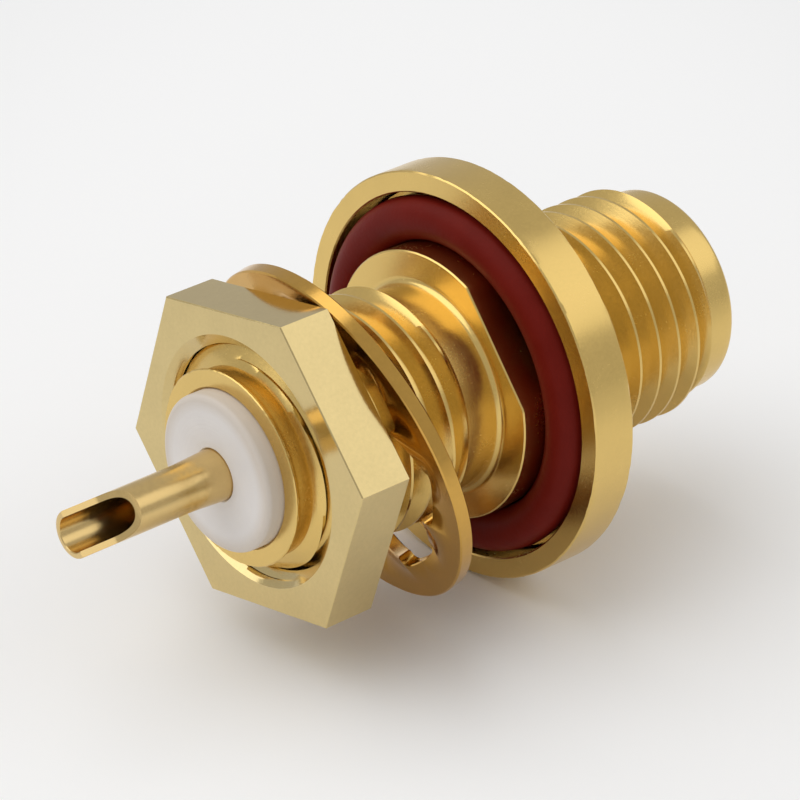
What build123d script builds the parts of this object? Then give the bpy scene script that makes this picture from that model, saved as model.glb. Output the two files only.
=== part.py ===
from build123d import *
import os
from math import ceil, cos, floor, radians, sin, tan

# Coaxial bulkhead jack with a solder cup. All sizes in mm.
# The axis is X, with +X toward the mating end. The origin is on the axis, in the
# plane of the flange's rear face, which seats on the panel.

# Thread, 1/4-36, on both ends of the body. The rear one, which the nut runs on, is cut
# as a helix; the front one stays a cylinder at its major diameter, where a plug's nut seats.
thread_major_d = 6.35
thread_pitch = 25.4 / 36
thread_crest_share = 0.125
thread_flank_angle = 30.0
thread_relief_depth = 0.375
thread_relief_margin = 0.015
thread_end_slope = 1.0
rear_thread_turn = 266.4

# Flange, its seal groove and the keyed collar
flange_floor_t = 0.44
seat_ring_w = 0.58
collar_step = 0.525
collar_proud = 0.70
key_depth = 0.43
key_angle = 140.6
edge_break = 0.04

# Rear (panel) end of the body
rear_len = 7.40
rear_ring_drop = 0.525
rear_relief_len = 1.10
relief_fillet = 0.20

# Front (mating) end of the body
jack_len = 6.40
neck_len = 0.70
tip_band_drop = 0.325
tip_band_len = 0.70
tip_nose_len = 0.15
tip_nose_drop = 0.10
counterbore_step = 0.24
counterbore_depth = 1.95
counterbore_lead = 0.12

# Dielectric, stepped so that it stops against a shoulder in the body
body_wall = 0.57
dielectric_step = 0.165
dielectric_step_x = -1.20
dielectric_proud = 0.40
dielectric_edge_r = 0.14

# Centre contact: slotted socket at the front, solder cup at the rear
contact_d = 1.27
contact_root_d = 1.40
contact_root_seat = 2.40
contact_taper_len = 1.16
cup_len = 4.61
cup_bore_d = 0.94
cup_bore_depth = 3.05
cup_scoop_len = 2.12
cup_scoop_offset = 0.05
cup_angle = 138.0
cup_tip_break = 0.05
barb_d = 1.55
barb_x = 0.40
barb_len = 0.60
socket_bore_d = 0.94
socket_depth = 3.25
socket_lead = 0.08
socket_slot_w = 0.16
socket_slot_len = 2.60
socket_slot_angle = 20.0
tine_clearance = 0.06

# Seal
seal_section_d = 1.20
seal_lip = 0.35
seal_seat_gap = 0.01
seal_side_gap = 0.14

# Hex nut
nut_wall = 0.825
nut_t = 1.55
nut_inset = 0.50
nut_corner_angle = 48.47
nut_countersink = 0.06
nut_thread_clearance = 0.05

# Lock washer with inner teeth twisted out of its plane. It hangs loose on the thread,
# leaning on the nut at the top.
washer_t = 0.40
washer_rim_w = 1.02
washer_tooth_len = 0.33
washer_hang_clearance = 0.375
washer_teeth = 8
washer_gap_w = 1.50
washer_twist = 14.0
washer_lean = 15.4
washer_swing = -3.1
washer_nut_gap = 0.03
washer_aside = -0.17
washer_sag = 0.22
washer_gap_angle = 3.0

# Sizes that follow from the ones above
thread_r = thread_major_d / 2
relief_r = thread_r - thread_relief_depth
thread_root_r = relief_r + thread_relief_margin
rear_ring_r = thread_r - rear_ring_drop
tip_band_r = thread_r - tip_band_drop
dielectric_rear_r = relief_r - body_wall
dielectric_front_r = dielectric_rear_r - dielectric_step
counterbore_r = dielectric_front_r + counterbore_step
collar_r = thread_r + collar_step
collar_flat_to_axis = collar_r - key_depth
seal_r = seal_section_d / 2
seal_ring_r = collar_r + seal_seat_gap + seal_r
seal_depth = seal_section_d - seal_lip + seal_seat_gap
groove_outer_r = seal_ring_r + seal_r + seal_side_gap
flange_d = 2 * (groove_outer_r + seat_ring_w)
flange_r = flange_d / 2
flange_t = seal_depth + flange_floor_t
rear_x = -rear_len
nut_bore_r = thread_r + nut_thread_clearance
nut_minor_r = thread_root_r + nut_thread_clearance
nut_mouth_r = nut_bore_r + nut_countersink
nut_rear_x = rear_x + nut_inset
nut_front_x = nut_rear_x + nut_t
tip_x = flange_t + jack_len
plane_x = tip_x - counterbore_depth
dielectric_x = rear_x - dielectric_proud
cup_tip_x = dielectric_x - cup_len


def turned(points):
    """A solid turned about X from a closed outline of (x, radius) points."""
    outline = make_face(Polyline(*points, close=True))
    return revolve(outline, Axis.X)


def ring_edges(solid, x, r):
    """The circular edges of a turned solid at one place on the axis."""
    return [
        e
        for e in solid.edges().filter_by(GeomType.CIRCLE)
        if abs(e.arc_center.X - x) < 1e-4 and abs(e.radius - r) < 1e-4
    ]


def beside_axis(size_x, width, height, x, angle, offset):
    """A block lying along X, turned about X, with its near face at a distance from the axis."""
    block = Box(size_x, height, width, align=(Align.MIN, Align.MIN, Align.CENTER))
    return Pos(x, 0, 0) * Rot(angle, 0, 0) * Pos(0, offset, 0) * block


def thread_turn(inner_r, inner_half_w, outer_r, outer_half_w):
    """One right-handed turn of a thread's groove about X, from its half widths at two radii."""
    section = make_face(
        Polyline(
            (inner_r, 0, -inner_half_w),
            (outer_r, 0, -outer_half_w),
            (outer_r, 0, outer_half_w),
            (inner_r, 0, inner_half_w),
            close=True,
        )
    )
    one_turn = sweep(section, path=Helix(thread_pitch, thread_pitch, inner_r), is_frenet=True)
    return Plane.YZ.location * one_turn


def threaded(solid, groove, low, high, turn):
    """Cuts a groove turn by turn between two places on the axis; turn is its angle at X = 0."""
    reach = 2 * thread_r
    span = turned([(low, 0), (low, reach), (high, reach), (high, 0)])
    for n in range(floor(low / thread_pitch) - 1, ceil(high / thread_pitch) + 2):
        here = Pos(n * thread_pitch, 0, 0) * Rot(turn, 0, 0) * groove
        box = here.bounding_box()
        if box.max.X <= low or box.min.X >= high:
            continue
        if box.min.X < low or box.max.X > high:
            here = here & span
        solid = solid - here
    return solid


# Body: one turned piece with two threads, flange, seal groove and keyed collar
ramp_rear = (thread_r - rear_ring_r) / thread_end_slope
ramp_relief = (thread_r - relief_r) / thread_end_slope
ramp_tip = (thread_r - tip_band_r) / thread_end_slope
relief_x = -collar_proud - rear_relief_len
neck_x = flange_t + neck_len
band_x = tip_x - tip_nose_len - tip_band_len

body = turned(
    [
        (rear_x, dielectric_rear_r),
        (rear_x, rear_ring_r),
        (rear_x + ramp_rear, thread_r),
        (relief_x - ramp_relief, thread_r),
        (relief_x, relief_r),
        (-collar_proud, relief_r),
        (-collar_proud, collar_r),
        (seal_depth, collar_r),
        (seal_depth, groove_outer_r),
        (0, groove_outer_r),
        (0, flange_r),
        (flange_t, flange_r),
        (flange_t, relief_r),
        (neck_x, relief_r),
        (neck_x + ramp_relief, thread_r),
        (band_x - ramp_tip, thread_r),
        (band_x, tip_band_r),
        (band_x + tip_band_len, tip_band_r),
        (tip_x, tip_band_r - tip_nose_drop),
        (tip_x, counterbore_r + counterbore_lead),
        (tip_x - counterbore_lead, counterbore_r),
        (plane_x, counterbore_r),
        (plane_x, dielectric_front_r),
        (dielectric_step_x, dielectric_front_r),
        (dielectric_step_x, dielectric_rear_r),
    ]
)
body = fillet(ring_edges(body, -collar_proud, relief_r), relief_fillet)
rims = ring_edges(body, 0, flange_r) + ring_edges(body, flange_t, flange_r)
body = chamfer(rims, edge_break)
key_cut = beside_axis(
    collar_proud + seal_depth,
    2 * collar_r,
    collar_r - collar_flat_to_axis + 0.2,
    -collar_proud,
    key_angle,
    collar_flat_to_axis,
)
body = body - key_cut
crest_half = thread_pitch * thread_crest_share / 2
flank = tan(radians(thread_flank_angle))
valley_half = thread_pitch / 2 - crest_half
root_half = valley_half - (thread_r - thread_root_r) * flank
over = crest_half / 2 / flank
groove = thread_turn(thread_root_r, root_half, thread_r + over, valley_half + over * flank)
body = threaded(body, groove, rear_x, relief_x, rear_thread_turn)

# Seal: a round-section ring in the groove, stretched over the collar
o_ring = Pos(seal_depth - seal_seat_gap - seal_r, 0, 0) * Rot(0, 90, 0) * Torus(seal_ring_r, seal_r)

# Dielectric: stepped bush, free of the socket's tines at the front
tine_x = plane_x - socket_slot_len - socket_slot_w
root_seat_x = dielectric_x + contact_root_seat
insulator = turned(
    [
        (dielectric_x, contact_root_d / 2),
        (dielectric_x, dielectric_rear_r),
        (dielectric_step_x, dielectric_rear_r),
        (dielectric_step_x, dielectric_front_r),
        (plane_x, dielectric_front_r),
        (plane_x, contact_d / 2 + tine_clearance),
        (tine_x, contact_d / 2 + tine_clearance),
        (tine_x, contact_d / 2),
        (barb_x + barb_len, contact_d / 2),
        (barb_x + barb_len, barb_d / 2),
        (barb_x, contact_d / 2),
        (root_seat_x, contact_d / 2),
        (root_seat_x, contact_root_d / 2),
    ]
)
insulator = fillet(ring_edges(insulator, dielectric_x, dielectric_rear_r), dielectric_edge_r)

# Centre contact: socket, barb, seat in the dielectric, taper and solder cup
center_contact = turned(
    [
        (plane_x, socket_bore_d / 2 + socket_lead),
        (plane_x, contact_d / 2),
        (barb_x + barb_len, contact_d / 2),
        (barb_x + barb_len, barb_d / 2),
        (barb_x, contact_d / 2),
        (root_seat_x, contact_d / 2),
        (root_seat_x, contact_root_d / 2),
        (dielectric_x, contact_root_d / 2),
        (dielectric_x - contact_taper_len, contact_d / 2),
        (cup_tip_x + cup_tip_break, contact_d / 2),
        (cup_tip_x, contact_d / 2 - cup_tip_break),
        (cup_tip_x, cup_bore_d / 2),
        (cup_tip_x + cup_bore_depth, cup_bore_d / 2),
        (cup_tip_x + cup_bore_depth, 0),
        (plane_x - socket_depth, 0),
        (plane_x - socket_depth, socket_bore_d / 2),
        (plane_x - socket_lead, socket_bore_d / 2),
    ]
)
scoop = beside_axis(cup_scoop_len, 2 * contact_d, contact_d, cup_tip_x, cup_angle, cup_scoop_offset)
center_contact = center_contact - scoop
for slot in range(2):
    saw = Box(socket_slot_len, 2 * contact_d, socket_slot_w, align=(Align.MAX, Align.CENTER, Align.CENTER))
    turn = socket_slot_angle + 90 * slot
    center_contact = center_contact - Pos(plane_x, 0, 0) * Rot(turn, 0, 0) * saw

# Hex nut: sharp-cornered, countersunk at both faces, its thread in mesh with the body's
nut_outline = Rot(0, 0, nut_corner_angle) * RegularPolygon(
    nut_bore_r + nut_wall, 6, major_radius=False
)
nut_blank = extrude(Plane.YZ.offset(nut_rear_x) * nut_outline, nut_t)
nut_ramp = (nut_mouth_r - nut_minor_r) / thread_end_slope
nut_hole = turned(
    [
        (nut_rear_x, 0),
        (nut_rear_x, nut_mouth_r),
        (nut_rear_x + nut_ramp, nut_minor_r),
        (nut_front_x - nut_ramp, nut_minor_r),
        (nut_front_x, nut_mouth_r),
        (nut_front_x, 0),
    ]
)
inside_half = crest_half + (nut_bore_r - nut_minor_r + over) * flank
nut_groove = thread_turn(nut_minor_r - over, inside_half, nut_bore_r, crest_half)
hex_nut = threaded(nut_blank - nut_hole, nut_groove, nut_rear_x, nut_front_x, rear_thread_turn + 180)

# Lock washer: flat rim with gaps punched between the teeth, each tooth twisted
tip_r = thread_r + washer_hang_clearance
root_r = tip_r + washer_tooth_len
washer_d = 2 * (root_r + washer_rim_w)
washer_r = washer_d / 2
step = 360 / washer_teeth
tooth_w = 2 * root_r * sin(radians(step / 2)) - washer_gap_w
web = 0.10
rim = extrude(Circle(washer_r) - Circle(root_r), washer_t)
tooth_outline = Rectangle(washer_t, tooth_w)
lock_washer = rim
for tooth in range(washer_teeth):
    at = Rot(0, 0, washer_gap_angle + step * (tooth + 0.5))
    start = Plane(origin=(root_r + web, 0, washer_t / 2), x_dir=(0, 0, 1), z_dir=(-1, 0, 0))
    blade = Solid.extrude_linear_with_rotation(
        (start * tooth_outline).face(),
        center=(root_r + web, 0, washer_t / 2),
        normal=(tip_r - root_r - web, 0, 0),
        angle=washer_twist,
    )
    lock_washer = lock_washer + at * blade
tips = extrude(Circle(tip_r), 3 * washer_t, both=True)
lock_washer = lock_washer - tips
lean = radians(washer_lean)
swing = radians(washer_swing)
across = Vector(cos(lean) * cos(swing), sin(swing), sin(lean)).normalized()
down = Vector(across.Z, 0, -across.X).normalized()
rear_centre = (nut_front_x + washer_nut_gap + washer_r * sin(lean), washer_aside, -washer_sag)
hang = Plane(origin=rear_centre, x_dir=down, z_dir=across)
lock_washer = hang.location * lock_washer

pieces = {
    "body": body,
    "o_ring": o_ring,
    "insulator": insulator,
    "center_contact": center_contact,
    "hex_nut": hex_nut,
    "lock_washer": lock_washer,
}
os.makedirs("parts", exist_ok=True)
for name, piece in pieces.items():
    solids = piece.solids()
    if len(solids) != 1:
        raise ValueError(f"{name} is made of {len(solids)} solids, not one")
    export_step(solids[0], f"parts/{name}.step")
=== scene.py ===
import math
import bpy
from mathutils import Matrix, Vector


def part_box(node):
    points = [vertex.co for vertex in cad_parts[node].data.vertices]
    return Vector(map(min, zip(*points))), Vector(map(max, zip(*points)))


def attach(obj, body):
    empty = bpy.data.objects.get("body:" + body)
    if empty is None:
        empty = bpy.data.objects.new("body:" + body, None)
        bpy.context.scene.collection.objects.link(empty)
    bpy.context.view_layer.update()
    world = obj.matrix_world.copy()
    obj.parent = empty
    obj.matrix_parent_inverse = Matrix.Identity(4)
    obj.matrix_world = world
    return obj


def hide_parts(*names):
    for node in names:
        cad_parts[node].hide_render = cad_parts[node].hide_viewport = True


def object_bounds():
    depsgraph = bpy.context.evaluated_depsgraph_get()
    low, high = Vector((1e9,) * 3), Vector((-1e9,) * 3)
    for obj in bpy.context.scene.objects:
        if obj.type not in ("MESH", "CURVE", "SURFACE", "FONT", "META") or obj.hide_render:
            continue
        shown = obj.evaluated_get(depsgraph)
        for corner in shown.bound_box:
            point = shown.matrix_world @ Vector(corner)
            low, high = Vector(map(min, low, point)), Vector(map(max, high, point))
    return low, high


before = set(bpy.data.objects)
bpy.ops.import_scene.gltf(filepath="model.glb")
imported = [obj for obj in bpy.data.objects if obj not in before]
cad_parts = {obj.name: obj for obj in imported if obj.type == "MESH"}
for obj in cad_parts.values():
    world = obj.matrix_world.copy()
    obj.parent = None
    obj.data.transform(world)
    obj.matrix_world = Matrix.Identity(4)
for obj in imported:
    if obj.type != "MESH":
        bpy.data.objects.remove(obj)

from types import SimpleNamespace

import bmesh
import bpy
from bpy.props import FloatProperty, FloatVectorProperty, IntProperty, PointerProperty
from mathutils import Matrix, Vector

CAD_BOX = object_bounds()

bl_info = {
    "name": "Bulkhead Jack",
    "version": (1, 0, 0),
    "blender": (4, 5, 0),
    "location": "View3D > Sidebar > Jack",
    "description": "Dresses a threaded coaxial bulkhead jack with a solder cup",
    "category": "Object",
}

MM = 0.001
# A radius in mm that no piece reaches, for rows that nothing trims
FAR = 99.0
# Spots of a mesh that lie nearer than this, in mm, become one
WELD = 0.0004
SEAM_WELD = 0.0005
# Least cosine that the key flat divides by
LEAST_FACING = 0.05
# Level of the noise above which a rim is nicked, and how strongly
NICK_LEVEL, NICK_GAIN = 0.47, 5.0
ROW_MARKS = ("span", "cones", "trim", "start")

# Boxes of the solids, in mm
BODY_LOW, BODY_HIGH = (Vector(c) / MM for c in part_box("body"))
NUT_LOW, NUT_HIGH = (Vector(c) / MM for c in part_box("hex_nut"))
CUP_TIP_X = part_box("center_contact")[0][0] / MM
DIELECTRIC_LOW, DIELECTRIC_HIGH = (Vector(c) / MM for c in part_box("insulator"))
SEAL_LOW, SEAL_HIGH = (Vector(c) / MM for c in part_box("o_ring"))


def length(label, about, default):
    """A length, given in mm and kept in metres."""
    return FloatProperty(name=label, description=about, default=default * MM, unit="LENGTH", precision=6)


def angle(label, about, degrees):
    return FloatProperty(name=label, description=about, default=math.radians(degrees), subtype="ANGLE")


def amount(label, about, default):
    return FloatProperty(name=label, description=about, default=default, subtype="FACTOR", min=0.0, max=1.0)


def number(label, about, default):
    return FloatProperty(name=label, description=about, default=default)


def count(label, about, default):
    return IntProperty(name=label, description=about, default=default)


def colour(label, about, rgb):
    return FloatVectorProperty(name=label, description=about, default=rgb, size=3,
                               subtype="COLOR", min=0.0, max=1.0)


class JackThread(bpy.types.PropertyGroup):
    """Form of the thread on both ends of the body and in the nut."""
    major_radius: length("Major radius", "Radius over the crests", 3.175)
    pitch: length("Pitch", "Travel for one turn", 25.4 / 36)
    depth: length("Depth", "Height of a crest above the valley", 0.42)
    crest_share: amount("Crest share", "Flat of the crest, as a share of the pitch", 0.11)
    root_share: amount("Root share", "Flat of the valley, as a share of the pitch", 0.10)
    rear_start: number("Rear start", "Where the rear thread starts, in turns", 0.74)
    front_start: number("Front start", "Where the front thread starts, in turns", 0.42)
    running_gap: length("Running gap", "Gap between the nut's thread and the body's", 0.05)


class JackBody(bpy.types.PropertyGroup):
    """Sizes of the turned body."""
    relief_radius: length("Relief radius", "Radius of the undercuts beside the threads", 2.80)
    relief_length: length("Relief length", "Length of the undercut behind the collar", 1.10)
    rear_ring_radius: length("Rear ring radius", "Outer radius of the flat ring at the rear end", 2.65)
    ring_length: length("Rear ring length", "Length of the rear ring with its groove", 0.60)
    ring_groove: length("Ring groove", "Depth of the groove behind the rear ring", 0.10)
    rear_slope: number("Rear slope", "How steeply the rear end of the thread is broken", 2.2)
    collar_radius: length("Collar radius", "Radius of the keyed collar", 3.70)
    collar_proud: length("Collar height", "How far the collar stands behind the flange", 0.70)
    collar_fillet: length("Collar fillet", "Radius in the corner behind the collar", 0.20)
    key_flat: length("Key flat", "Distance of the collar's flat from the axis", 3.27)
    key_angle: angle("Key angle", "Direction that the collar's flat faces", 140.6)
    groove_radius: length("Groove radius", "Outer radius of the seal groove", 5.05)
    groove_depth: length("Groove depth", "Depth of the seal groove", 0.86)
    groove_corner: length("Groove corner", "Size of the corners in the seal groove", 0.05)
    flange_thickness: length("Flange thickness", "Thickness of the flange", 1.30)
    neck_fillet: length("Neck fillet", "Radius in the corner in front of the flange", 0.12)
    neck_end: length("Neck end", "Where the undercut in front of the flange ends", 2.00)
    band_start: length("Tip band start", "Where the thread ends at the mating end", 6.85)
    band_radius: length("Tip band radius", "Radius of the plain band at the tip", 2.85)
    nose_start: length("Nose start", "Where the tip starts to taper", 7.55)
    nose_radius: length("Nose radius", "Radius of the end face", 2.75)
    plane_x: length("Reference plane", "Depth of the mating face inside the tip", 5.75)
    counterbore_radius: length("Counterbore radius", "Radius of the opening at the tip", 2.305)
    tip_chamfer: length("Tip chamfer", "Broken edge of the opening at the tip", 0.12)
    front_bore_radius: length("Front bore radius", "Radius of the front bore", 2.065)
    rear_bore_radius: length("Rear bore radius", "Radius of the rear bore", 2.12)
    rear_chamfer: length("Rear chamfer", "Broken edge of the rear bore", 0.06)
    step_x: length("Bore step", "Where the two bores meet", -1.20)
    edge_break: length("Edge break", "Width of the broken edges", 0.035)
    segments: count("Segments", "Sides of the turned shape", 240)


class JackSeal(bpy.types.PropertyGroup):
    """Make of the seal; its size is that of its solid."""
    flash: length("Flash", "Height of the moulding line", 0.008)
    sides: count("Sides", "Sides of the ring's section", 48)
    segments: count("Segments", "Sides of the ring", 160)


class JackDielectric(bpy.types.PropertyGroup):
    """Sizes of the dielectric bush; its outside follows the bores of the body."""
    proud: length("Proud", "How far the rear face stands out behind the solid's", 0.08)
    hole_radius: length("Hole radius", "Radius of the hole in the middle", 0.640)
    rear_hole_radius: length("Rear hole radius", "Radius of the hole around the contact's base", 0.705)
    rear_hole_depth: length("Rear hole depth", "Depth of the hole around the contact's base", 2.40)
    front_hole_radius: length("Front hole radius", "Radius of the hole around the socket", 0.695)
    front_hole_depth: length("Front hole depth", "Depth of the hole around the socket", 2.76)
    corner: length("Corner", "Radius of the rear face's outer corner", 0.15)
    segments: count("Segments", "Sides of the turned shape", 128)


class JackContact(bpy.types.PropertyGroup):
    """Sizes of the centre contact."""
    pin_radius: length("Pin radius", "Radius of the contact", 0.635)
    base_radius: length("Base radius", "Radius where the contact leaves the dielectric", 0.70)
    base_length: length("Base length", "Length of the base inside the dielectric", 2.39)
    bore_radius: length("Bore radius", "Radius inside the solder cup and the socket", 0.47)
    cup_depth: length("Cup depth", "Depth of the solder cup", 3.05)
    opening: angle("Opening", "Direction that the solder cup opens", 138.0)
    scoop_length: length("Scoop length", "Length of the cup's open side up to its curved end", 0.98)
    scoop_radius: length("Scoop radius", "Radius of the cutter that leaves the curved end", 0.80)
    scoop_lip: length("Scoop lip", "Distance of the open side from the axis", 0.05)
    socket_depth: length("Socket depth", "Depth of the socket at the mating end", 3.25)
    slot_length: length("Slot length", "Length of the socket's slots", 2.60)
    slot_width: length("Slot width", "Width of the socket's slots", 0.16)
    first_slot: angle("First slot", "Direction of the first slot", 20.0)
    segments: count("Segments", "Sides of the turned shape", 96)


class JackNut(bpy.types.PropertyGroup):
    """Sizes of the hex nut."""
    across_flats: length("Across flats", "Width over two opposite flats", 8.10)
    mouth_radius: length("Mouth radius", "Radius where the thread opens at both faces", 3.40)
    corner_angle: angle("Corner angle", "Direction of one corner", 48.47)
    edge_break: length("Edge break", "Width of the broken edges", 0.03)
    segments: count("Segments", "Sides of the turned shape", 144)


class JackWasher(bpy.types.PropertyGroup):
    """Sizes of the lock washer and how it hangs on the thread."""
    rim_radius: length("Rim radius", "Outer radius", 4.90)
    root_radius: length("Root radius", "Radius at the bottom of the gaps", 3.88)
    tip_radius: length("Tip radius", "Radius at the ends of the teeth", 3.55)
    thickness: length("Thickness", "Thickness of the sheet", 0.40)
    gap: length("Gap", "Width of the gap between two teeth", 1.50)
    corner: length("Gap corner", "Radius in the corners of a gap", 0.18)
    edge_break: length("Edge break", "Width of the broken edges", 0.035)
    bend_radius: length("Bend radius", "Where the twist of a tooth begins", 4.50)
    teeth: count("Teeth", "Number of teeth", 8)
    twist: angle("Twist", "Twist at the end of a tooth", 16.0)
    first_gap: angle("First gap", "Direction of the first gap", 3.0)
    lean: angle("Lean", "Lean of the washer against the nut", 15.4)
    swing: angle("Swing", "Swing of the washer to the side", -3.1)
    nut_gap: length("Nut gap", "Gap at the nut", 0.03)
    aside: length("Aside", "Shift of the washer to the side", -0.17)
    sag: length("Sag", "How far the washer hangs below the axis", 0.22)


class JackFinish(bpy.types.PropertyGroup):
    """Colours of the pieces."""
    body_gold: colour("Body", "Satin plating of the body", (0.77, 0.54, 0.182))
    # Nut: partly the plating's own colour and partly painted shade, darkened so its flat faces show dimmer
    # reflections
    nut_gold: colour("Nut", "Bright plating of the nut", (0.685, 0.535, 0.25))
    # Washer: darker and browner than the nut, partly its plating and partly painted shade of the narrow gap
    # between nut and washer
    washer_gold: colour("Washer", "Bright plating of the washer", (0.63, 0.365, 0.085))
    contact_gold: colour("Contact", "Plating of the centre contact", (0.74, 0.53, 0.225))
    dielectric: colour("Dielectric", "White dielectric", (0.80, 0.77, 0.745))
    seal: colour("Seal", "Dark red seal", (0.125, 0.0065, 0.003))
    floor: colour("Floor", "Plain pale floor", (0.97, 0.97, 0.97))


class JackStage(bpy.types.PropertyGroup):
    """Floor, camera and light."""
    azimuth: angle("Azimuth", "Direction that the camera looks from", -41.005)
    elevation: angle("Elevation", "Height of the camera above the floor", 28.818)
    distance: length("Distance", "Distance of the camera", 110.0)
    aside: length("Aside", "Shift of the view across the picture", 1.289)
    above: length("Above", "Shift of the view up the picture", 0.609)
    lens: number("Lens", "Focal length in mm", 188.73)
    key_power: number("Key", "Power of the lamp above the jack, in watts", 0.54)
    side_power: number("Side", "Power of the soft panel at the side, in watts", 0.038)
    ambient: number("Ambient", "Level of the surroundings", 0.55)
    floor_half: length("Floor", "Half the width of the floor", 600.0)
    # Painted shade: outside a pale patch round the jack the floor's colour dims, so the floor grows darker
    # away from the jack
    pale_across: length("Pale across", "Half width of the pale part of the floor", 13.0)
    pale_deep: length("Pale depth", "Half depth of the pale part of the floor", 32.0)
    painted_shade_start: number("Painted shade start", "Where the floor starts to dim, in sizes of the pale part", 0.9)
    painted_shade_end: number("Painted shade end", "Where the floor is dimmed in full, in sizes of the pale part", 3.4)
    painted_shade_level: amount("Painted shade level", "Share of the floor's colour that is left there", 0.78)


def in_mm(group):
    """A group's values by name, with its lengths in mm."""
    values = {}
    for entry in group.bl_rna.properties:
        value = getattr(group, entry.identifier)
        values[entry.identifier] = value / MM if entry.unit == "LENGTH" else value
    return SimpleNamespace(**values)


class Value:
    """A socket that can stand in a sum: each operator adds a Math node."""

    def __init__(self, graph, socket):
        self.graph = graph
        self.socket = socket

    def __add__(self, other):
        return self.graph.math("ADD", self, other)

    def __radd__(self, other):
        return self.graph.math("ADD", other, self)

    def __sub__(self, other):
        return self.graph.math("SUBTRACT", self, other)

    def __rsub__(self, other):
        return self.graph.math("SUBTRACT", other, self)

    def __mul__(self, other):
        return self.graph.math("MULTIPLY", self, other)

    def __rmul__(self, other):
        return self.graph.math("MULTIPLY", other, self)

    def __truediv__(self, other):
        return self.graph.math("DIVIDE", self, other)

    def __rtruediv__(self, other):
        return self.graph.math("DIVIDE", other, self)


class Graph:
    """Adds nodes to a tree, for shapes and for finishes alike."""

    def __init__(self, tree):
        self.tree = tree

    def node(self, kind, settings=None, out=0, **inputs):
        """Adds one node: its settings first, then a value or a link for each socket that is named.

        A socket goes by its name, with _ for a space, or by its place: s0, s1 and so on.
        """
        made = self.tree.nodes.new(kind)
        for key, setting in (settings or {}).items():
            setattr(made, key, setting)
        for key, given in inputs.items():
            if key[0] == "s" and key[1:].isdigit():
                socket = made.inputs[int(key[1:])]
            else:
                wanted = key.replace("_", " ").lower()
                socket = next(s for s in made.inputs if s.name.lower() == wanted and s.enabled)
            if isinstance(given, Value):
                self.tree.links.new(given.socket, socket)
            else:
                socket.default_value = given
        return Value(self, made.outputs[out])

    def out(self, value, name):
        """Another output of the node that gave a value."""
        return Value(self, value.socket.node.outputs[name])

    def math(self, operation, *terms):
        sockets = {f"s{i}": term for i, term in enumerate(terms)}
        return self.node("ShaderNodeMath", {"operation": operation}, **sockets)

    def split(self, vector):
        parts = self.node("ShaderNodeSeparateXYZ", Vector=vector)
        return parts, self.out(parts, "Y"), self.out(parts, "Z")

    def join(self, x, y, z):
        return self.node("ShaderNodeCombineXYZ", X=x, Y=y, Z=z)

    def least(self, *terms):
        return self.math("MINIMUM", *terms)

    def most(self, *terms):
        return self.math("MAXIMUM", *terms)

    def between(self, low, high, share):
        """A plain blend of two values."""
        return low + (high - low) * share


def new_tree(name, number_of, sizes):
    """A geometry tree that takes a mesh, a number of copies or sides, sizes and a material.

    Returns its graph, its inputs by name and its output node.
    """
    inputs = [("Geometry", "NodeSocketGeometry"), (number_of, "NodeSocketInt")]
    inputs += [(label, "NodeSocketFloat") for label in sizes]
    inputs.append(("Material", "NodeSocketMaterial"))
    tree = bpy.data.node_groups.new(name, "GeometryNodeTree")
    for label, kind in inputs:
        tree.interface.new_socket(label, in_out="INPUT", socket_type=kind)
    tree.interface.new_socket("Geometry", in_out="OUTPUT", socket_type="NodeSocketGeometry")
    graph = Graph(tree)
    entry = tree.nodes.new("NodeGroupInput")
    given = {s.name: Value(graph, s) for s in entry.outputs if s.name}
    leave = tree.nodes.new("NodeGroupOutput")
    return graph, given, leave


TURNED_SIZES = (
    "Start Angle", "Pitch", "Root Radius", "Depth", "Crest Share", "Root Share",
    "Key Angle", "Nick Depth", "Nick Scale",
)


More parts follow.
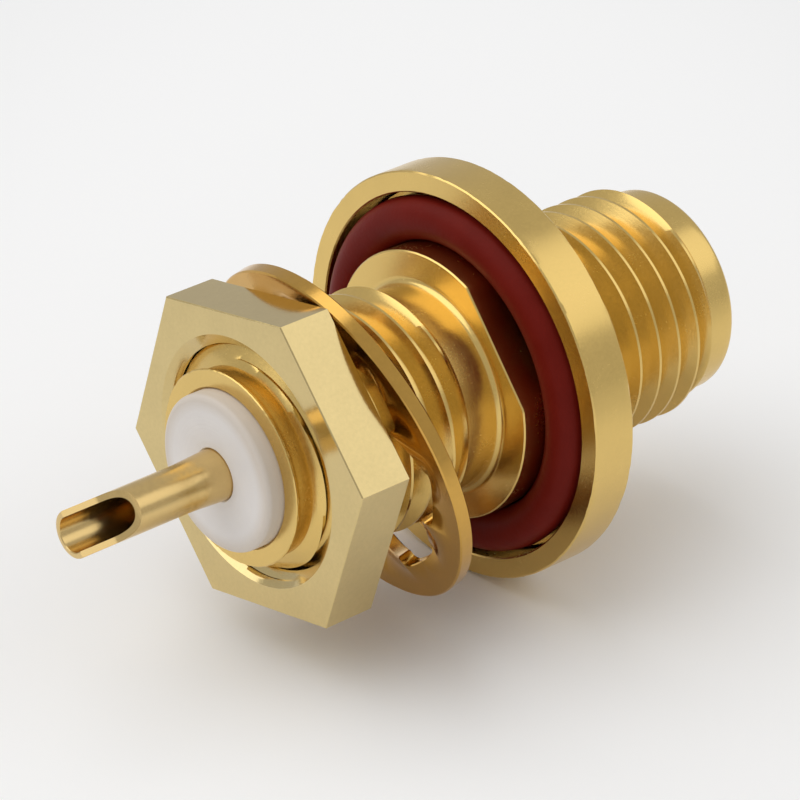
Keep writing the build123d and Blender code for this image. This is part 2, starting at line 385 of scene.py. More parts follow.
def turned_tree():
    """Turns an outline about X.

    Rows marked as thread climb one pitch in a turn. Rows may also be keyed, six-sided or nicked.
    """
    name = "turned_piece"
    if name in bpy.data.node_groups:
        return bpy.data.node_groups[name]
    g, given, leave = new_tree(name, "Segments", TURNED_SIZES)
    outline = given["Geometry"]
    rows = g.node("GeometryNodeAttributeDomainSize", {"component": "MESH"}, Geometry=outline)
    grid = g.node("GeometryNodeMeshGrid", Size_X=1.0, Size_Y=1.0,
                  Vertices_X=given["Segments"] + 1, Vertices_Y=rows + 1)
    across, along, _ = g.split(g.node("GeometryNodeInputPosition"))
    turn = across + 0.5
    row = g.math("MODULO", g.math("ROUND", (along + 0.5) * rows), rows)

    def taken(field):
        return g.node("GeometryNodeSampleIndex", {"data_type": "FLOAT_VECTOR"},
                      Geometry=outline, Value=field, Index=row)

    def marked(label):
        field = g.node("GeometryNodeInputNamedAttribute", {"data_type": "FLOAT_VECTOR"}, Name=label)
        return g.split(taken(field))

    x_row, _, r_row = g.split(taken(g.node("GeometryNodeInputPosition")))
    low, high, helix = marked("span")
    cone_low, cone_high, inner = marked("cones")
    flat, six, nick = marked("trim")
    start, steep, _ = marked("start")

    theta = given["Start Angle"] + turn * math.tau
    climb = g.most(low, g.least(high, x_row + given["Pitch"] * turn))
    x = g.between(x_row, climb, helix)

    def on_ring(radius):
        return g.join(x, g.math("COSINE", theta) * radius, g.math("SINE", theta) * radius)

    # Thread form: flat crest, straight flanks, flat valley
    turns = x / given["Pitch"] - theta / math.tau + start
    off_crest = g.math("ABSOLUTE", g.math("FRACT", turns) - 0.5)
    valley = given["Root Share"] * 0.5
    rise = (0.5 - off_crest - valley) / (0.5 - given["Crest Share"] * 0.5 - valley)
    form = given["Root Radius"] + given["Depth"] * g.most(0.0, g.least(1.0, rise))
    outside = g.least(form, g.least(cone_low + (x - low) * steep, cone_high + (high - x)))
    inside = g.most(form, g.most(cone_low - (x - low) * steep, cone_high - (high - x)))
    thread = g.between(outside, inside, inner)
    radius = g.between(r_row, thread, helix)

    # Key flat and six-sided rows
    facing = g.most(LEAST_FACING, g.math("COSINE", theta - given["Key Angle"]))
    radius = g.least(radius, flat / facing)
    sixth = g.math("FLOORED_MODULO", theta - given["Start Angle"], math.tau / 6) - math.tau / 12
    radius = g.between(radius, radius / g.math("COSINE", sixth), six)

    # Small nicks along the sharp rims
    rough = noise(g, on_ring(radius), given["Nick Scale"], detail=3.0, roughness=0.65)
    radius = radius - nick * given["Nick Depth"] * g.most(0.0, rough - NICK_LEVEL) * NICK_GAIN

    turned_grid = g.node("GeometryNodeSetPosition", Geometry=grid, Position=on_ring(radius))
    welded = g.node("GeometryNodeMergeByDistance", Geometry=turned_grid, Distance=WELD)
    real = g.node("GeometryNodeRealizeInstances", Geometry=welded)
    done = g.node("GeometryNodeSetMaterial", Geometry=real, Material=given["Material"])
    g.tree.links.new(done.socket, leave.inputs[0])
    return g.tree


def ring_tree():
    """Repeats one sector about Z and welds the copies into a ring."""
    name = "toothed_ring"
    if name in bpy.data.node_groups:
        return bpy.data.node_groups[name]
    g, given, leave = new_tree(name, "Copies", ("First Angle",))
    points = g.node("GeometryNodePoints", Count=given["Copies"])
    index = g.node("GeometryNodeInputIndex")
    facing = g.join(0.0, 0.0, given["First Angle"] + index * math.tau / given["Copies"])
    copies = g.node("GeometryNodeInstanceOnPoints", Points=points, Instance=given["Geometry"],
                    Rotation=facing)
    real = g.node("GeometryNodeRealizeInstances", Geometry=copies)
    welded = g.node("GeometryNodeMergeByDistance", Geometry=real, Distance=SEAM_WELD)
    done = g.node("GeometryNodeSetMaterial", Geometry=welded, Material=given["Material"])
    g.tree.links.new(done.socket, leave.inputs[0])
    return g.tree


class Outline:
    """Closed outline of a turned piece, in mm, row by row."""

    def __init__(self):
        self.rows = []

    def at(self, x, r, flat=FAR, six=0.0, nick=0.0):
        """One row, at a place on the axis and a radius."""
        self.rows.append((x, r, (0.0, 0.0, 0.0), (FAR, FAR, 0.0), (flat, six, nick), (0.0, 0.0, 0.0)))

    def run(self, start, end, steps, **marks):
        """Evenly spaced rows from one point to another, both included."""
        for i in range(steps + 1):
            t = i / steps
            self.at(start[0] + (end[0] - start[0]) * t, start[1] + (end[1] - start[1]) * t, **marks)

    def arc(self, centre, radius, start, end, steps):
        """Rows along an arc between two angles, in degrees."""
        for i in range(steps + 1):
            a = math.radians(start + (end - start) * i / steps)
            self.at(centre[0] + radius * math.cos(a), centre[1] + radius * math.sin(a))

    def thread(self, low, high, cone_low, cone_high, form, start, start_angle=0.0, inner=0.0, steep=1.0):
        """Rows that climb with the thread between two places on the axis, trimmed there by cones."""
        flank_steps, near = 4, 1e-6
        pitch = form["Pitch"]
        edge, valley = form["Crest Share"] / 2, form["Root Share"] / 2
        flank = [valley + (0.5 - edge - valley) * i / flank_steps for i in range(flank_steps + 1)]
        shares = sorted({round(share, 6) for share in [0.0, 0.5] + flank + [1.0 - f for f in flank]})
        offset = start_angle / math.tau - start
        first = math.floor((low - pitch) / pitch - offset) - 1
        last = math.ceil(high / pitch - offset) + 1
        places = [(n + s + offset) * pitch for n in range(first, last + 1) for s in shares]
        places = [x for x in places if low - pitch - near <= x <= high + near]
        places = [low - pitch] + places + [high]
        if inner:
            places.reverse()
        for x in places:
            self.rows.append((x, form["Root Radius"], (low, high, 1.0), (cone_low, cone_high, inner),
                              (FAR, 0.0, 0.0), (start, steep, 0.0)))

    def mesh(self, name):
        """The outline as a closed loop of edges that carries the marks of its rows."""
        made = bpy.data.meshes.new(name)
        total = len(self.rows)
        made.from_pydata([(x, 0.0, r) for x, r, *_ in self.rows],
                         [(i, (i + 1) % total) for i in range(total)], [])
        for column, label in enumerate(ROW_MARKS, start=2):
            field = made.attributes.new(label, "FLOAT_VECTOR", "POINT")
            for i, row in enumerate(self.rows):
                field.data[i].vector = row[column]
        return made


def linked(name, data):
    """A new object in the scene."""
    thing = bpy.data.objects.new(name, data)
    bpy.context.scene.collection.objects.link(thing)
    return thing


def shaped(thing):
    """The plain mesh that an object's modifiers give."""
    bpy.context.view_layer.update()
    seen = thing.evaluated_get(bpy.context.evaluated_depsgraph_get())
    return bpy.data.meshes.new_from_object(seen)


def discard(*things):
    """Removes objects together with their meshes."""
    for thing in things:
        old = thing.data
        bpy.data.objects.remove(thing)
        bpy.data.meshes.remove(old)


def grown(name, mesh, tree, settings):
    """Runs a tree on a mesh and gives back the plain result."""
    holder = linked(name, mesh)
    modifier = holder.modifiers.new("shape", "NODES")
    modifier.node_group = tree
    sockets = [s for s in tree.interface.items_tree if s.item_type == "SOCKET" and s.in_out == "INPUT"]
    ids = {s.name: s.identifier for s in sockets}
    for label, setting in settings.items():
        modifier[ids[label]] = setting
    plain = shaped(holder)
    discard(holder)
    plain.name = name
    return plain


def cut(plain, cutters, material):
    """Takes blocks away from a closed mesh."""
    target = linked("blank", plain)
    tools = []
    for i, cutter in enumerate(cutters):
        tool = linked(f"cutter_{i}", cutter)
        taking = target.modifiers.new(f"cut_{i}", "BOOLEAN")
        taking.operation = "DIFFERENCE"
        taking.solver = "EXACT"
        taking.object = tool
        tools.append(tool)
    result = shaped(target)
    discard(target, *tools)
    result.materials.clear()
    result.materials.append(material)
    for face in result.polygons:
        face.material_index = 0
    return result


def block(size, middle, turn, rolled=False):
    """A plain box in mm, or a cylinder lying across X, turned about X."""
    made = bpy.data.meshes.new("cutter")
    bm = bmesh.new()
    if rolled:
        bmesh.ops.create_cone(bm, cap_ends=True, segments=96, radius1=0.5, radius2=0.5, depth=1.0)
    else:
        bmesh.ops.create_cube(bm, size=1.0)
    bmesh.ops.scale(bm, vec=size, verts=bm.verts)
    bmesh.ops.translate(bm, vec=middle, verts=bm.verts)
    bmesh.ops.rotate(bm, cent=(0, 0, 0), matrix=Matrix.Rotation(turn, 3, "X"), verts=bm.verts)
    bm.to_mesh(made)
    bm.free()
    return made


def finished(name, plain, body, node, place=Matrix.Identity(4), sharp=32.0):
    """Welds a mesh, faces it outward, brings it from mm to metres, hangs it under its body's empty and
    hides the CAD node that it stands in for.

    Edges sharper than the given angle, in degrees, stay crisp. A mesh that isn't closed is an error.
    """
    bm = bmesh.new()
    bm.from_mesh(plain)
    bmesh.ops.remove_doubles(bm, verts=bm.verts, dist=WELD)
    bmesh.ops.dissolve_degenerate(bm, dist=WELD / 2, edges=bm.edges)
    bmesh.ops.recalc_face_normals(bm, faces=bm.faces)
    if not bm.faces or any(len(edge.link_faces) != 2 for edge in bm.edges):
        raise RuntimeError(f"{name} is not a closed mesh")
    limit = math.radians(sharp)
    for face in bm.faces:
        face.smooth = True
    for edge in bm.edges:
        edge.smooth = edge.calc_face_angle() < limit
    if bm.calc_volume(signed=True) < 0:
        bmesh.ops.reverse_faces(bm, faces=bm.faces)
    bm.transform(Matrix.Scale(MM, 4) @ place)
    bm.to_mesh(plain)
    bm.free()
    for label in ROW_MARKS:
        if label in plain.attributes:
            plain.attributes.remove(plain.attributes[label])
    piece = linked(name, plain)
    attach(piece, body)
    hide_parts(node)


def new_finish(name):
    """An empty material and its graph."""
    made = bpy.data.materials.new(name)
    made.use_nodes = True
    made.node_tree.nodes.clear()
    return made, Graph(made.node_tree)


def surface(g, **inputs):
    """The material's one shader and its output."""
    shader = g.node("ShaderNodeBsdfPrincipled", **inputs)
    leave = g.tree.nodes.new("ShaderNodeOutputMaterial")
    g.tree.links.new(shader.socket, leave.inputs["Surface"])


def bumped(g, height):
    """A normal that follows a height in mm."""
    return g.node("ShaderNodeBump", Strength=1.0, Distance=MM, Height=height)


def millimetres(g):
    """Object coordinates in mm."""
    where = g.node("ShaderNodeTexCoord", out="Object")
    return g.node("ShaderNodeVectorMath", {"operation": "SCALE"}, Vector=where, Scale=1 / MM)


def noise(g, vector, scale, detail=2.0, roughness=0.5):
    return g.node("ShaderNodeTexNoise", {"noise_dimensions": "3D"}, Vector=vector, Scale=scale,
                  Detail=detail, Roughness=roughness)


def dot(g, vector, other):
    return g.node("ShaderNodeVectorMath", {"operation": "DOT_PRODUCT"}, out="Value", s0=vector, s1=other)


def eased(g, value, start, end, level=1.0):
    """Rises smoothly from 0 to a level between two values."""
    return g.node("ShaderNodeMapRange", {"interpolation_type": "SMOOTHSTEP"}, Value=value,
                  From_Min=start, From_Max=end, To_Min=0.0, To_Max=level)


def tint(g, share, low, high):
    """A blend of two colours, each a plain one or a link."""
    ends = [end if isinstance(end, Value) else (*end, 1.0) for end in (low, high)]
    return g.node("ShaderNodeMix", {"data_type": "RGBA"}, s0=share, s6=ends[0], s7=ends[1], out=2)


def toned(rgb, *factors):
    """A colour with its red, green and blue scaled."""
    return tuple(min(1.0, part * factor) for part, factor in zip(rgb, factors))


def around_axis(g, at):
    """Distance from the axis, and a vector that is even all round it."""
    x, y, z = g.split(at)
    radius = g.math("SQRT", y * y + z * z)
    return radius, g.join(x, radius, 0.0)


def plated(name, gold, rough, speckle, lathe, streak, grain):
    """Gold plating.

    Rough is its gloss. Speckle, lathe and streak are the heights in mm of the tumbled grain, the
    turning marks and the slow waves. Grain is how fine the tumbled grain is.
    """
    made, g = new_finish(name)
    at = millimetres(g)
    _, even = around_axis(g, at)
    fine = noise(g, at, scale=grain, detail=3.0, roughness=0.6)
    broad = noise(g, at, scale=0.9)
    marks = noise(g, even, scale=26.0, roughness=0.7)
    dark, light = 0.84, 1.12
    mottle = broad * 0.45 + fine * 0.55
    shade = tint(g, mottle, toned(gold, dark, dark, dark), toned(gold, light, light, light))
    gloss = rough + (fine - 0.5) * (rough * 0.55) + (broad - 0.5) * (rough * 0.5)
    height = (fine - 0.5) * speckle + (marks - 0.5) * lathe + (broad - 0.5) * streak
    surface(g, Base_Color=shade, Metallic=1.0, Roughness=gloss, Normal=bumped(g, height))
    return made


def dielectric_finish(rgb):
    """White dielectric: matte, with faint turning rings, a little dust and a warm, darker outer edge that
    is painted shade.
    """
    made, g = new_finish("white_dielectric")
    at = millimetres(g)
    radius, even = around_axis(g, at)
    rings = noise(g, even, scale=14.0, roughness=0.6)
    cloud = noise(g, at, scale=1.3, detail=3.0)
    face = tint(g, cloud, toned(rgb, 0.94, 0.93, 0.94), rgb)
    # Painted shade: towards the outer edge the colour turns darker and warmer, standing in for shade and
    # warm light reflected from the gold there
    edge = eased(g, radius, start=1.60, end=2.10, level=0.80)
    shade = tint(g, edge, face, toned(rgb, 0.78, 0.70, 0.60))
    ring_height, dust_height = 0.006, 0.02
    height = (rings - 0.5) * ring_height + (cloud - 0.5) * dust_height
    surface(g, Base_Color=shade, Roughness=0.46 + (rings - 0.5) * 0.1, Specular_IOR_Level=0.4,
            Normal=bumped(g, height))
    return made


def seal_finish(rgb):
    """Dark red silicone: satin, with a faint bloom and fine moulding grain."""
    made, g = new_finish("red_seal")
    at = millimetres(g)
    grain = noise(g, at, scale=9.0, detail=3.0, roughness=0.6)
    bloom = noise(g, at, scale=1.1, detail=3.0, roughness=0.55)
    shade = tint(g, bloom, rgb, tuple(part * 1.4 + 0.004 for part in rgb))
    grain_height, bloom_height = 0.006, 0.02
    height = (grain - 0.5) * grain_height + (bloom - 0.5) * bloom_height
    surface(g, Base_Color=shade, Roughness=0.42 + (bloom - 0.5) * 0.2, Specular_IOR_Level=0.07,
            Normal=bumped(g, height))
    return made


def floor_finish(rgb, stage):
    """Pale floor with painted shade: its colour dims smoothly away from the jack."""
    made, g = new_finish("pale_floor")
    at = millimetres(g)
    sine, cosine = math.sin(stage.azimuth), math.cos(stage.azimuth)
    across = dot(g, at, (cosine / stage.pale_across, sine / stage.pale_across, 0.0))
    deep = dot(g, at, (sine / stage.pale_deep, -cosine / stage.pale_deep, 0.0))
    reach = g.math("SQRT", across * across + deep * deep)
    # Painted shade: beyond the pale patch the floor's colour falls to a share of itself
    beyond = eased(g, reach, stage.painted_shade_start, stage.painted_shade_end)
    level = stage.painted_shade_level
    shade = tint(g, beyond, rgb, toned(rgb, level, level, level))
    surface(g, Base_Color=shade, Roughness=0.9, Specular_IOR_Level=0.1)
    return made


def thread_form():
    """Form of the thread in mm, by the names of the turned tree's inputs."""
    t = in_mm(bpy.context.scene.jack_thread)
    return {
        "Pitch": t.pitch,
        "Root Radius": t.major_radius - t.depth,
        "Depth": t.depth,
        "Crest Share": t.crest_share,
        "Root Share": t.root_share,
    }


def turned(name, outline, material, segments, start=0.0, key=0.0, nick=0.0, nick_scale=2.2, form=None):
    """A plain mesh, in mm, turned from an outline."""
    settings = dict(form or thread_form())
    settings.update({
        "Segments": segments, "Start Angle": start, "Key Angle": key,
        "Nick Depth": nick, "Nick Scale": nick_scale, "Material": material,
    })
    return grown(name, outline.mesh(name), turned_tree(), settings)


class JACK_OT_body(bpy.types.Operator):
    """Turn the body with both threads, the flange, the seal groove and the keyed collar"""
    bl_idname = "jack.body"
    bl_label = "Body"

    def execute(self, context):
        scene = context.scene
        b, form = in_mm(scene.jack_body), thread_form()
        rear, tip, rim = BODY_LOW.x, BODY_HIGH.x, BODY_HIGH.z
        edge, relief = b.edge_break, b.relief_radius
        collar_x, face_x = -b.collar_proud, b.flange_thickness
        relief_x = collar_x - b.relief_length
        o = Outline()

        # Rear bore, the flat ring round it and the narrow groove behind the ring
        ring, valley = b.rear_ring_radius, b.rear_ring_radius - b.ring_groove
        land, nose, drop, clear = 0.07, 0.025, 0.01, 0.02
        corner = b.ring_groove - drop
        o.at(rear + b.rear_chamfer, b.rear_bore_radius)
        o.at(rear, b.rear_bore_radius + b.rear_chamfer)
        o.at(rear, ring - land, nick=0.2)
        o.at(rear, ring - nose, nick=1.2)
        o.at(rear + nose, ring, nick=1.2)
        o.at(rear + 2 * nose, ring - drop, nick=0.5)
        o.arc((rear + land + corner, ring - drop), corner, 180, 270, 5)
        o.run((rear + land + corner + 4 * clear, valley), (rear + b.ring_length - clear, valley), 4)
        o.thread(rear + b.ring_length, relief_x, valley, relief, form, scene.jack_thread.rear_start,
                 steep=b.rear_slope)

        # Undercut, keyed collar and seal groove
        collar, flat, fillet = b.collar_radius, b.key_flat, b.collar_fillet
        groove, groove_x, soft = b.groove_radius, b.groove_depth, b.groove_corner
        key_land, lip_x = 0.12, 0.3
        o.run((relief_x, relief), (collar_x - fillet, relief), 6)
        o.arc((collar_x - fillet, relief + fillet), fillet, -80, -5, 6)
        o.at(collar_x, relief + fillet + clear)
        o.at(collar_x, flat - edge - key_land)
        o.at(collar_x, collar - edge, flat=flat - edge, nick=0.35)
        o.at(collar_x + edge, collar, flat=flat, nick=0.35)
        o.run((collar_x + 2 * edge, collar), (groove_x - soft, collar), 6, flat=flat)
        o.at(groove_x, collar + soft, flat=flat + soft)
        o.at(groove_x, groove - soft)
        o.at(groove_x - soft, groove)
        o.run((lip_x, groove), (edge, groove), 2, nick=-0.2)
        o.at(0.0, groove + edge, nick=-0.3)
        o.at(0.0, groove + 3 * edge)

        # Flange, the undercut in front of it and the front thread
        neck, above_neck = b.neck_fillet, 0.03
        o.at(0.0, rim - 3 * edge)
        o.at(0.0, rim - edge, nick=1.0)
        o.at(edge, rim, nick=1.0)
        o.run((2.5 * edge, rim), (face_x - 2.5 * edge, rim), 8)
        o.at(face_x - edge, rim, nick=0.8)
        o.at(face_x, rim - edge, nick=0.8)
        o.at(face_x, rim - 3 * edge)
        o.at(face_x, relief + neck + above_neck)
        o.arc((face_x + neck, relief + neck), neck, 180, 270, 4)
        o.at(b.neck_end - clear / 2, relief)
        o.thread(b.neck_end, b.band_start, relief, b.band_radius, form, scene.jack_thread.front_start)

        # Plain band, softly rounded taper and the bores
        o.run((b.band_start, b.band_radius), (b.nose_start, b.band_radius), 4)
        for further, lower in ((0.05, 0.012), (0.10, 0.045)):
            o.at(b.nose_start + further, b.band_radius - lower)
        o.at(tip - 0.015, b.nose_radius + 0.005)
        o.at(tip, b.nose_radius - 0.03)
        o.at(tip, b.counterbore_radius + b.tip_chamfer)
        o.at(tip - b.tip_chamfer, b.counterbore_radius)
        o.at(b.plane_x, b.counterbore_radius)
        o.at(b.plane_x, b.front_bore_radius)
        o.at(b.step_x, b.front_bore_radius)
        o.at(b.step_x, b.rear_bore_radius)

        gold = plated("body_gold", scene.jack_finish.body_gold, rough=0.24, speckle=0.0008,
                      lathe=0.0006, streak=0.0006, grain=13.0)
        plain = turned("body_turned", o, gold, b.segments, key=b.key_angle, nick=0.016, nick_scale=5.0)
        finished("body_turned", plain, "connector", "body")
        return {"FINISHED"}


class JACK_OT_seal(bpy.types.Operator):
    """Mould the seal ring"""
    bl_idname = "jack.seal"
    bl_label = "Seal"

    def execute(self, context):
        seal = in_mm(context.scene.jack_seal)
        section = (SEAL_HIGH.x - SEAL_LOW.x) / 2
        ring = SEAL_HIGH.z - section
        middle = (SEAL_LOW.x + SEAL_HIGH.x) / 2
        o = Outline()
        for i in range(seal.sides):
            a = math.tau * i / seal.sides
            on_line = i % (seal.sides // 2) == seal.sides // 4
            radius = section if on_line else section - seal.flash
            o.at(middle + radius * math.cos(a), ring + radius * math.sin(a))
        rubber = seal_finish(context.scene.jack_finish.seal)
        plain = turned("seal_ring", o, rubber, seal.segments)
        finished("seal_ring", plain, "connector", "o_ring")
        return {"FINISHED"}


class JACK_OT_dielectric(bpy.types.Operator):
    """Turn the white dielectric bush"""
    bl_idname = "jack.dielectric"
    bl_label = "Dielectric"

    def execute(self, context):
        b, d = in_mm(context.scene.jack_body), in_mm(context.scene.jack_dielectric)
        rear, front = DIELECTRIC_LOW.x - d.proud, DIELECTRIC_HIGH.x
        wide, slim = b.rear_bore_radius, b.front_bore_radius
        base_end, socket_end = rear + d.rear_hole_depth, front - d.front_hole_depth
        edge, bevel, face_start = 0.03, 0.04, 0.85
        o = Outline()
        o.at(base_end, d.rear_hole_radius)
        o.at(rear + edge, d.rear_hole_radius)
        o.at(rear, d.rear_hole_radius + edge)
        o.run((rear, face_start), (rear, wide - d.corner - 0.02), 5)
        o.arc((rear + d.corner, wide - d.corner), d.corner, 180, 90, 6)
        o.at(b.step_x, wide)
        o.at(b.step_x, slim)
        o.at(front - bevel, slim)
        o.at(front, slim - bevel)
        o.at(front, d.front_hole_radius + bevel)
        o.at(front - bevel, d.front_hole_radius)
        o.at(socket_end, d.front_hole_radius)
        o.at(socket_end, d.hole_radius)
        o.at(base_end, d.hole_radius)
        white = dielectric_finish(context.scene.jack_finish.dielectric)
        plain = turned("dielectric_bush", o, white, d.segments)
        finished("dielectric_bush", plain, "connector", "insulator")
        return {"FINISHED"}


class JACK_OT_contact(bpy.types.Operator):
    """Turn the centre contact and cut its solder cup and socket"""
    bl_idname = "jack.contact"
    bl_label = "Centre contact"

    def execute(self, context):
        c = in_mm(context.scene.jack_contact)
        tip, root, plane = CUP_TIP_X, DIELECTRIC_LOW.x, DIELECTRIC_HIGH.x
        pin, base, bore = c.pin_radius, c.base_radius, c.bore_radius
        base_end, cup_end, socket_end = root + c.base_length, tip + c.cup_depth, plane - c.socket_depth
        edge, rounding, mouth, drill_point = 0.03, 0.05, 0.08, 0.15
        taper_start, taper_end, plain_start, taper_drop = root - 0.25, root - 1.16, root - 1.4, 0.014
        o = Outline()

        # Outside, from the mating end to the solder cup, with a slow taper behind the base
        o.at(plane, bore + mouth)
        o.at(plane, pin - edge)
        o.at(plane - edge, pin)
        o.at(base_end, pin)
        o.at(base_end, base)
        o.at(root - rounding, base)
        o.run((taper_start, base - taper_drop), (taper_end, pin), 5)
        o.run((plain_start, pin), (tip + rounding, pin), 6)
        o.at(tip + 0.015, pin - 0.015)
        o.at(tip, pin - rounding)

        # Inside, from the solder cup to the socket
        o.at(tip, bore + 0.025)
        o.at(tip + 0.02, bore)
        o.at(cup_end - drill_point, bore)
        o.at(cup_end, edge)
        o.at(cup_end, 0.0)
        o.at(socket_end, 0.0)
        o.at(socket_end, edge)
        o.at(socket_end + drill_point, bore)
        o.at(plane - mouth, bore)

        gold = plated("contact_gold", context.scene.jack_finish.contact_gold, rough=0.22, speckle=0.0014,
                      lathe=0.0005, streak=0.001, grain=9.0)
        plain = turned("centre_contact", o, gold, c.segments)

        # Cutters reach past the ends and the sides of the pin
        past, across, above = 1.0, 3.0, 1.4
        scoop, rolled = c.scoop_length, c.scoop_radius
        cutters = [
            block((scoop + past, above, across),
                  (tip + (scoop - past) / 2, c.scoop_lip + above / 2, 0.0), c.opening),
            block((2 * rolled, 2 * rolled, across),
                  (tip + scoop, c.scoop_lip + rolled, 0.0), c.opening, rolled=True),
        ]
        for quarter in range(2):
            cutters.append(block((c.slot_length + past, across, c.slot_width),
                                 (plane - (c.slot_length - past) / 2, 0.0, 0.0),
                                 c.first_slot + quarter * math.pi / 2))
        plain = cut(plain, cutters, gold)
        finished("centre_contact", plain, "connector", "center_contact", sharp=28.0)
        return {"FINISHED"}


class JACK_OT_nut(bpy.types.Operator):
    """Make the hex nut with its inner thread"""
    bl_idname = "jack.nut"
    bl_label = "Nut"

    def execute(self, context):
        t, n = in_mm(context.scene.jack_thread), in_mm(context.scene.jack_nut)
        form = thread_form()
        form["Root Radius"] += t.running_gap
        low, high = NUT_LOW.x, NUT_HIGH.x
        apothem, mouth, edge = n.across_flats / 2, n.mouth_radius, n.edge_break
        lead, face_land = mouth + 0.02, 0.25
        o = Outline()
        o.at(low, lead)
        o.at(low, apothem - face_land, six=1.0)
        o.at(low, apothem - edge, six=1.0, nick=0.25)
        o.at(low + edge, apothem, six=1.0, nick=0.25)
        o.run((low + 3 * edge, apothem), (high - 3 * edge, apothem), 4, six=1.0)
        o.at(high - edge, apothem, six=1.0, nick=0.25)
        o.at(high, apothem - edge, six=1.0, nick=0.25)
        o.at(high, lead)
        o.thread(low, high, mouth, mouth, form, t.rear_start, n.corner_angle, inner=1.0)
        # The nut's colour holds painted shade: it is darker than its plating, to dim what its flat faces
        # reflect
        gold = plated("nut_gold", context.scene.jack_finish.nut_gold, rough=0.12, speckle=0.0003,
                      lathe=0.0002, streak=0.003, grain=9.0)
        plain = turned("hex_nut_threaded", o, gold, n.segments, start=n.corner_angle, nick=0.02, form=form)
        finished("hex_nut_threaded", plain, "nut", "hex_nut")
        return {"FINISHED"}


class JACK_OT_washer(bpy.types.Operator):
    """Punch the lock washer and twist its teeth"""
    bl_idname = "jack.washer"
    bl_label = "Lock washer"

    def execute(self, context):
        w = in_mm(context.scene.jack_washer)
        rim, root, tip, corner = w.rim_radius, w.root_radius, w.tip_radius, w.corner
        half_step = math.pi / w.teeth
        half_gap = root * math.sin(half_step)
        half_tooth = half_gap - w.gap / 2

        # One side of the inner edge, from the middle of a gap to the middle of a tooth
        # Each spot holds its place out and aside, and the angle of the rim that it joins
        gap_steps, corner_steps, tip_steps = 7, 8, 9
        corner_share, flank_share, tip_share = 0.70, 0.66, 0.62
        round_x = math.sqrt((root - corner) ** 2 - (half_tooth + corner) ** 2)
        round_angle = math.atan2(half_tooth + corner, round_x)
        path = []
        for i in range(gap_steps):
            a = half_step + (round_angle - half_step) * i / gap_steps
            path.append((root * math.cos(a), root * math.sin(a), a))
        for i in range(corner_steps + 1):
            t = i / corner_steps
            a = round_angle + (-math.pi / 2 - round_angle) * t
            path.append((round_x + corner * math.cos(a), half_tooth + corner + corner * math.sin(a),
                         round_angle * (1 - (1 - corner_share) * t)))
        tip_angle = math.asin(half_tooth / tip)
        path.append((tip * math.cos(tip_angle) + 0.04, half_tooth, round_angle * flank_share))
        for i in range(tip_steps + 1):
            left = 1 - i / tip_steps
            a = tip_angle * 0.95 * left
            path.append((tip * math.cos(a), tip * math.sin(a), round_angle * tip_share * left))
        path = [(x, -y, -a) for x, y, a in path] + path[-2::-1]

        def lift(x, y):
            """How far the twist of the teeth raises a spot of the sheet."""
            t = max(0.0, min(1.0, (w.bend_radius - math.hypot(x, y)) / (w.bend_radius - tip)))
            beyond = max(0.0, abs(y) - half_tooth) / (half_gap - half_tooth)
            arm = math.copysign(min(abs(y), half_tooth) * max(0.0, 1.0 - beyond), y)
            return arm * math.tan(w.twist * t * t * (3 - 2 * t))

        # Both faces of one sector, row by row from the rim inward
        row_steps = 14
        share = w.edge_break / (rim - root)
        inner_rows = [share + (1 - 2 * share) * i / row_steps for i in range(1, row_steps)]
        rows = [0.0, share] + inner_rows + [1 - share, 1.0]
        bm = bmesh.new()
        grids = []
        for face, inward in ((0.0, w.edge_break), (w.thickness, -w.edge_break)):
            grid = []
            for x, y, a in path:
                column = []
                for t in rows:
                    px = rim * math.cos(a) + (x - rim * math.cos(a)) * t
                    py = rim * math.sin(a) + (y - rim * math.sin(a)) * t
                    z = face + lift(px, py) + (inward if t in (0.0, 1.0) else 0.0)
                    column.append(bm.verts.new((px, py, z)))
                grid.append(column)
            grids.append(grid)
        low, high = grids
        last = len(rows) - 1
        for i in range(len(path) - 1):
            for j in range(last):
                bm.faces.new((low[i][j], low[i][j + 1], low[i + 1][j + 1], low[i + 1][j]))
                bm.faces.new((high[i][j], high[i + 1][j], high[i + 1][j + 1], high[i][j + 1]))
            bm.faces.new((low[i][0], low[i + 1][0], high[i + 1][0], high[i][0]))
            bm.faces.new((low[i][last], high[i][last], high[i + 1][last], low[i + 1][last]))
        sector = bpy.data.meshes.new("washer_sector")
        bm.to_mesh(sector)
        bm.free()

        # The washer's colour holds painted shade of the gap between nut and washer
        gold = plated("washer_gold", context.scene.jack_finish.washer_gold, rough=0.15, speckle=0.0006,
                      lathe=0.0002, streak=0.003, grain=8.0)
        plain = grown("lock_washer_toothed", sector, ring_tree(),
                      {"Copies": w.teeth, "First Angle": w.first_gap + half_step, "Material": gold})

        # Hang it on the thread, leaning against the nut
        across = Vector((math.cos(w.lean) * math.cos(w.swing), math.sin(w.swing), math.sin(w.lean)))
        across.normalize()
        down = Vector((across.z, 0.0, -across.x)).normalized()
        side = across.cross(down)
        reach = w.nut_gap + rim * math.sin(w.lean)
        centre = Vector((NUT_HIGH.x + reach, w.aside, -w.sag))
        hang = Matrix.Translation(centre) @ Matrix((down, side, across)).transposed().to_4x4()
        finished("lock_washer_toothed", plain, "washer", "lock_washer", place=hang)
        return {"FINISHED"}


def panel_lamp(name, direction, away, size, power):
    """A soft panel that looks at the jack; its distance and size are in metres."""
    lamp = bpy.data.lights.new(name, "AREA")
    lamp.shape = "RECTANGLE"
    lamp.size, lamp.size_y = size
    lamp.energy = power
    holder = linked(name, lamp)
    holder.location = Vector(direction).normalized() * away
    holder.rotation_euler = (-Vector(direction)).to_track_quat("-Z", "Y").to_euler()


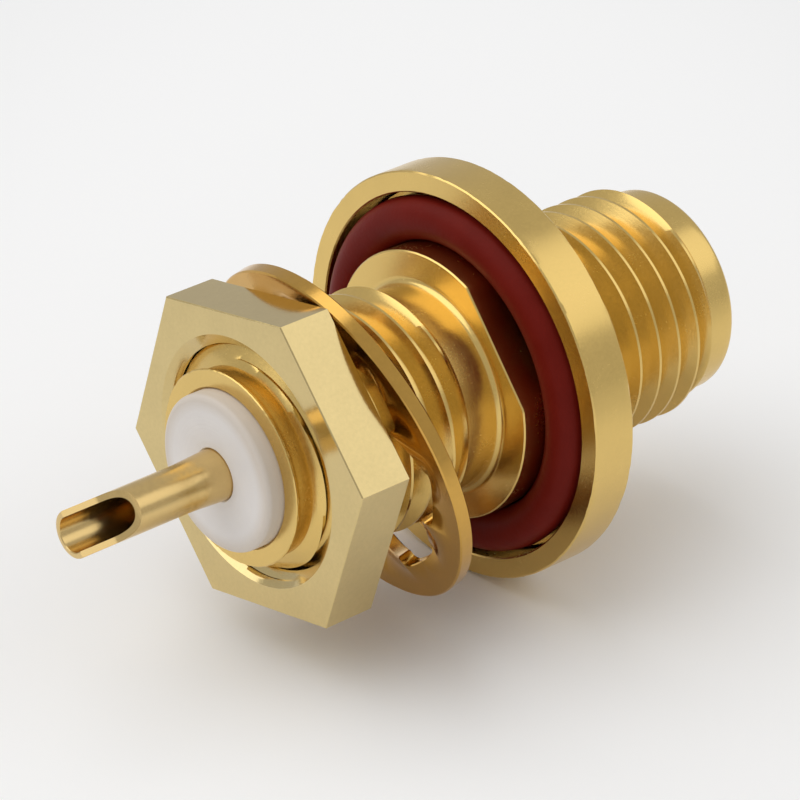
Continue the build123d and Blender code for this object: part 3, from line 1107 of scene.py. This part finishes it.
class JACK_OT_stage(bpy.types.Operator):
    """Set the floor, the light and the camera"""
    bl_idname = "jack.stage"
    bl_label = "Stage"

    def execute(self, context):
        scene = context.scene
        st = scene.jack_stage
        level, half = CAD_BOX[0][2], st.floor_half
        corners = [(-half, -half, level), (half, -half, level), (half, half, level), (-half, half, level)]
        plane = bpy.data.meshes.new("floor")
        plane.from_pydata(corners, [], [(0, 1, 2, 3)])
        plane.materials.append(floor_finish(scene.jack_finish.floor, in_mm(st)))
        floor = linked("floor", plane)

        world = bpy.data.worlds.new("soft_surroundings")
        world.use_nodes = True
        sky = world.node_tree.nodes["Background"]
        sky.inputs["Color"].default_value = (1.0, 1.0, 1.0, 1.0)
        sky.inputs["Strength"].default_value = st.ambient
        scene.world = world

        panel_lamp("key_lamp", direction=(-0.38, 0.34, 0.86), away=0.30, size=(0.38, 0.38),
                   power=st.key_power)
        panel_lamp("side_panel", direction=(0.61, -0.46, 0.65), away=0.20, size=(0.16, 0.12),
                   power=st.side_power)

        back = Vector((math.sin(st.azimuth) * math.cos(st.elevation),
                       -math.cos(st.azimuth) * math.cos(st.elevation), math.sin(st.elevation)))
        right = Vector((math.cos(st.azimuth), math.sin(st.azimuth), 0.0))
        up = back.cross(right)
        camera = bpy.data.cameras.new("camera")
        camera.sensor_width = 36.0
        camera.lens = st.lens
        camera.clip_start, camera.clip_end = 0.005, 10.0
        eye = linked("camera", camera)
        place = Matrix.Translation(back * st.distance - right * st.aside - up * st.above)
        eye.matrix_world = place @ Matrix((right, up, back)).transposed().to_4x4()
        scene.camera = eye
        scene.view_settings.view_transform = "Standard"
        return {"FINISHED"}


PIECES = (
    JACK_OT_body,
    JACK_OT_seal,
    JACK_OT_dielectric,
    JACK_OT_contact,
    JACK_OT_nut,
    JACK_OT_washer,
    JACK_OT_stage,
)


class JACK_PT_panel(bpy.types.Panel):
    """Lists the pieces of the jack"""
    bl_idname = "JACK_PT_panel"
    bl_label = "Bulkhead jack"
    bl_space_type = "VIEW_3D"
    bl_region_type = "UI"
    bl_category = "Jack"

    def draw(self, context):
        for piece in PIECES:
            self.layout.operator(piece.bl_idname)


GROUPS = {
    "jack_thread": JackThread,
    "jack_body": JackBody,
    "jack_seal": JackSeal,
    "jack_dielectric": JackDielectric,
    "jack_contact": JackContact,
    "jack_nut": JackNut,
    "jack_washer": JackWasher,
    "jack_finish": JackFinish,
    "jack_stage": JackStage,
}


def register():
    for group in GROUPS.values():
        bpy.utils.register_class(group)
    for label, group in GROUPS.items():
        setattr(bpy.types.Scene, label, PointerProperty(type=group))
    for made in PIECES + (JACK_PT_panel,):
        bpy.utils.register_class(made)


def unregister():
    for made in reversed(PIECES + (JACK_PT_panel,)):
        bpy.utils.unregister_class(made)
    for label, group in GROUPS.items():
        delattr(bpy.types.Scene, label)
        bpy.utils.unregister_class(group)


def main():
    register()
    bpy.ops.jack.body()
    bpy.ops.jack.seal()
    bpy.ops.jack.dielectric()
    bpy.ops.jack.contact()
    bpy.ops.jack.nut()
    bpy.ops.jack.washer()
    bpy.ops.jack.stage()


if __name__ == "__main__":
    main()
